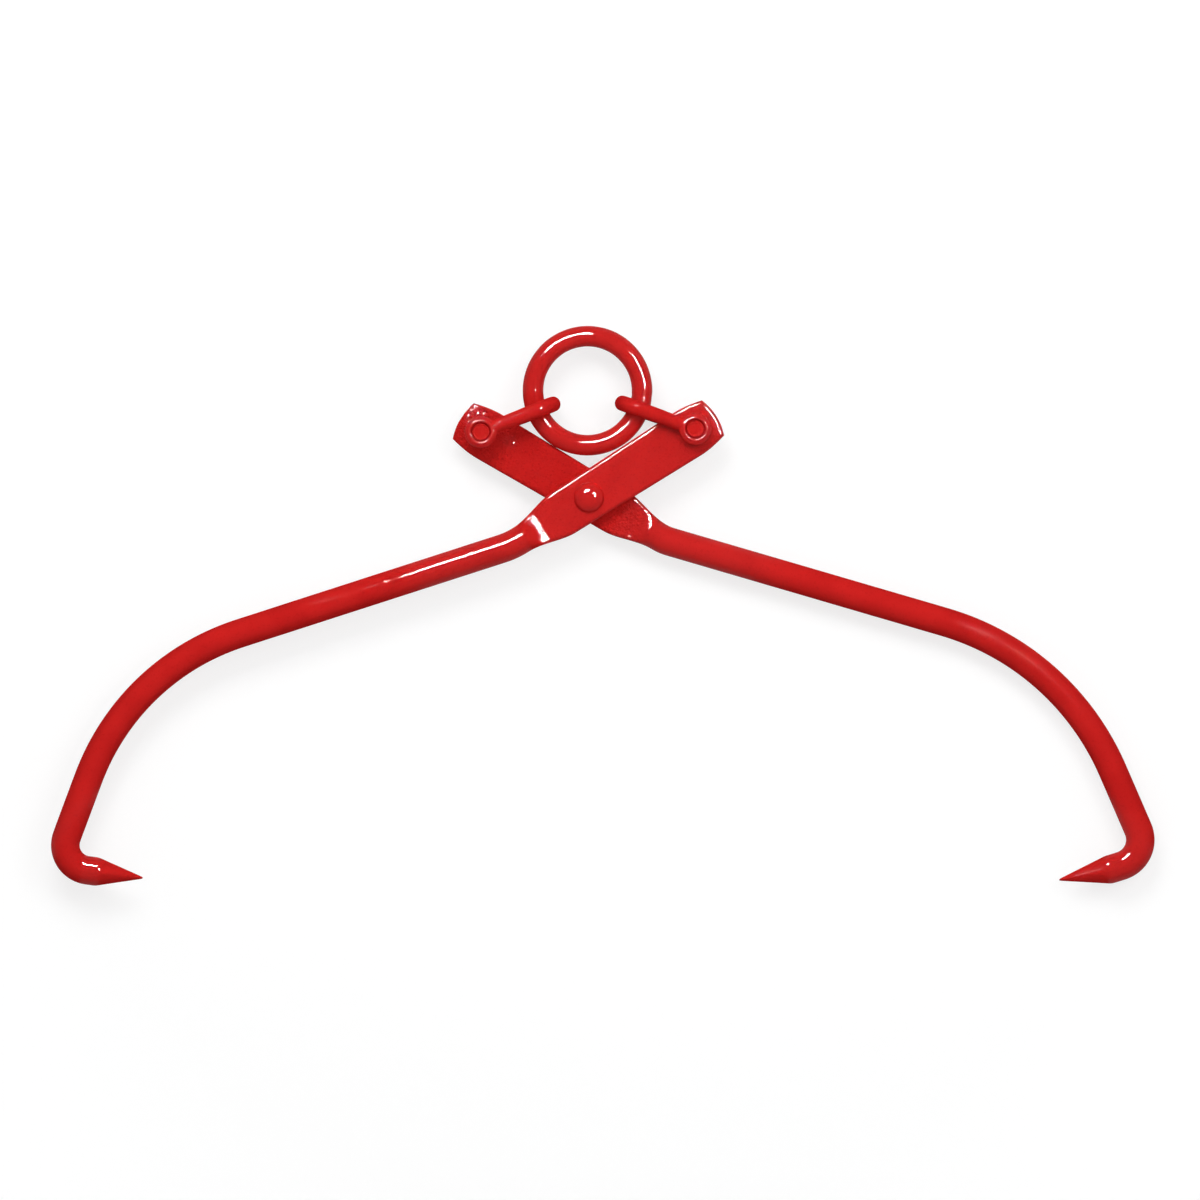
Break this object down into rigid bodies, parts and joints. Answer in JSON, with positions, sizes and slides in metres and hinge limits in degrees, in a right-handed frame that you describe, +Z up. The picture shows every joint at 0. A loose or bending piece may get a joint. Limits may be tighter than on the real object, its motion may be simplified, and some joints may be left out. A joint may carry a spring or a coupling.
{
  "type": "log tongs",
  "caption": "Skidding tongs for logs: two crossed forged arms on a rivet, ground points, and a lifting ring held by two pinned shackles.",
  "frame": {"origin": "Centre of the box round the open tongs in X and Y, at the height of the lowest shackle eyes, where the tongs lie on the ground.", "axes": "+X runs across the opening from the left point to the right point, +Y from the points toward the lifting ring, +Z up off the ground, along the rivet, toward the side the picture shows."},
  "size_m": [0.9172, 0.4654, 0.0469],
  "materials": {
    "enamelled_arms": "gloss",
    "enamelled_ring": "gloss",
    "enamelled_shackles": "gloss",
    "enamelled_fasteners": "gloss"
  },
  "bodies": {
    "pivot": {"pivot_rivet": "enamelled_fasteners"},
    "front_arm": {"front_arm": "enamelled_arms"},
    "rear_arm": {"rear_arm": "enamelled_arms"},
    "right_shackle": {"right_shackle": "enamelled_shackles", "right_pin": "enamelled_fasteners"},
    "left_shackle": {"left_shackle": "enamelled_shackles", "left_pin": "enamelled_fasteners"},
    "ring": {"lifting_ring": "enamelled_ring"}
  },
  "joints": [
    {"name": "front_arm_swing", "type": "hinge", "parent": "pivot", "child": "front_arm", "pos_m": [-0.01179, 0.08996, 0.02345], "axis": [0, 0, 1], "range_deg": [0, 37]},
    {"name": "rear_arm_swing", "type": "hinge", "parent": "pivot", "child": "rear_arm", "pos_m": [-0.01179, 0.08996, 0.02345], "axis": [0, 0, 1], "range_deg": [-37, 0]},
    {"name": "right_shackle_swing", "type": "hinge", "parent": "front_arm", "child": "right_shackle", "pos_m": [0.0764, 0.14658, 0.02345], "axis": [0, 0, 1], "range_deg": [-83.1, 0]},
    {"name": "left_shackle_swing", "type": "hinge", "parent": "rear_arm", "child": "left_shackle", "pos_m": [-0.10153, 0.14409, 0.02345], "axis": [0, 0, 1], "range_deg": [0, 83.1]},
    {"name": "ring_turn", "type": "hinge", "parent": "right_shackle", "child": "ring", "pos_m": [-0.01303, 0.17869, 0.02345], "axis": [0, 0, 1], "continuous": true}
  ],
  "couplings": [
    {"joint": "rear_arm_swing", "follows": "front_arm_swing", "ratio": -1},
    {"joint": "right_shackle_swing", "follows": "front_arm_swing", "ratio": -2.2446},
    {"joint": "left_shackle_swing", "follows": "front_arm_swing", "ratio": 2.2446}
  ]
}
